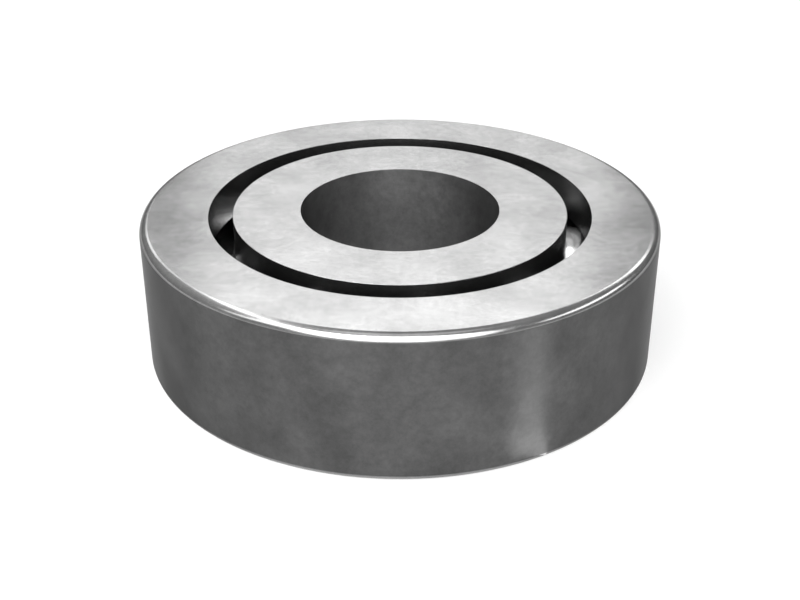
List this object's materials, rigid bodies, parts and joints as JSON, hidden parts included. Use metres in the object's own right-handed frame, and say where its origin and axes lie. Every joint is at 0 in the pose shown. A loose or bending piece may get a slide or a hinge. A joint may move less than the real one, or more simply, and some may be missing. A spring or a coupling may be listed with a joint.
{
  "type": "ball bearing",
  "caption": "Single-row deep-groove ball bearing: flush steel outer and inner rings, balls in a snap-in crown cage, open on both sides, straight bore.",
  "frame": {"origin": "the bearing's centre, on its axis and midway between the side faces", "axes": "+Z along the bearing's axis, away from the cage's closed side, which faces -Z; the first ball lies 10.4 degrees from +X towards +Y"},
  "size_m": [0.052, 0.052, 0.015],
  "materials": {
    "ring_steel": "ground and lightly mottled bearing steel",
    "ball_steel": "polished",
    "cage_polymer": "moulded, matte"
  },
  "bodies": {
    "outer_ring": {"outer_ring": "ring_steel"},
    "inner_ring": {"inner_ring": "ring_steel"},
    "cage": {"cage": "cage_polymer"},
    "ball_1": {"ball_1": "ball_steel"},
    "ball_2": {"ball_2": "ball_steel"},
    "ball_3": {"ball_3": "ball_steel"},
    "ball_4": {"ball_4": "ball_steel"},
    "ball_5": {"ball_5": "ball_steel"},
    "ball_6": {"ball_6": "ball_steel"},
    "ball_7": {"ball_7": "ball_steel"},
    "ball_8": {"ball_8": "ball_steel"}
  },
  "joints": [
    {"name": "inner_ring_spin", "type": "hinge", "parent": "outer_ring", "child": "inner_ring", "pos_m": [0, 0, 0], "axis": [0, 0, 1], "continuous": true},
    {"name": "cage_spin", "type": "hinge", "parent": "outer_ring", "child": "cage", "pos_m": [0, 0, 0], "axis": [0, 0, 1], "continuous": true},
    {"name": "ball_1_spin", "type": "hinge", "parent": "cage", "child": "ball_1", "pos_m": [0.0177, 0.00325, 0], "axis": [0, 0, 1], "continuous": true},
    {"name": "ball_2_spin", "type": "hinge", "parent": "cage", "child": "ball_2", "pos_m": [0.01022, 0.01482, 0], "axis": [0, 0, 1], "continuous": true},
    {"name": "ball_3_spin", "type": "hinge", "parent": "cage", "child": "ball_3", "pos_m": [-0.00325, 0.0177, 0], "axis": [0, 0, 1], "continuous": true},
    {"name": "ball_4_spin", "type": "hinge", "parent": "cage", "child": "ball_4", "pos_m": [-0.01482, 0.01022, 0], "axis": [0, 0, 1], "continuous": true},
    {"name": "ball_5_spin", "type": "hinge", "parent": "cage", "child": "ball_5", "pos_m": [-0.0177, -0.00325, 0], "axis": [0, 0, 1], "continuous": true},
    {"name": "ball_6_spin", "type": "hinge", "parent": "cage", "child": "ball_6", "pos_m": [-0.01022, -0.01482, 0], "axis": [0, 0, 1], "continuous": true},
    {"name": "ball_7_spin", "type": "hinge", "parent": "cage", "child": "ball_7", "pos_m": [0.00325, -0.0177, 0], "axis": [0, 0, 1], "continuous": true},
    {"name": "ball_8_spin", "type": "hinge", "parent": "cage", "child": "ball_8", "pos_m": [0.01482, -0.01022, 0], "axis": [0, 0, 1], "continuous": true}
  ],
  "couplings": [
    {"joint": "cage_spin", "follows": "inner_ring_spin", "ratio": 0.40278},
    {"joint": "ball_1_spin", "follows": "inner_ring_spin", "ratio": -2.4742},
    {"joint": "ball_2_spin", "follows": "inner_ring_spin", "ratio": -2.4742},
    {"joint": "ball_3_spin", "follows": "inner_ring_spin", "ratio": -2.4742},
    {"joint": "ball_4_spin", "follows": "inner_ring_spin", "ratio": -2.4742},
    {"joint": "ball_5_spin", "follows": "inner_ring_spin", "ratio": -2.4742},
    {"joint": "ball_6_spin", "follows": "inner_ring_spin", "ratio": -2.4742},
    {"joint": "ball_7_spin", "follows": "inner_ring_spin", "ratio": -2.4742},
    {"joint": "ball_8_spin", "follows": "inner_ring_spin", "ratio": -2.4742}
  ]
}
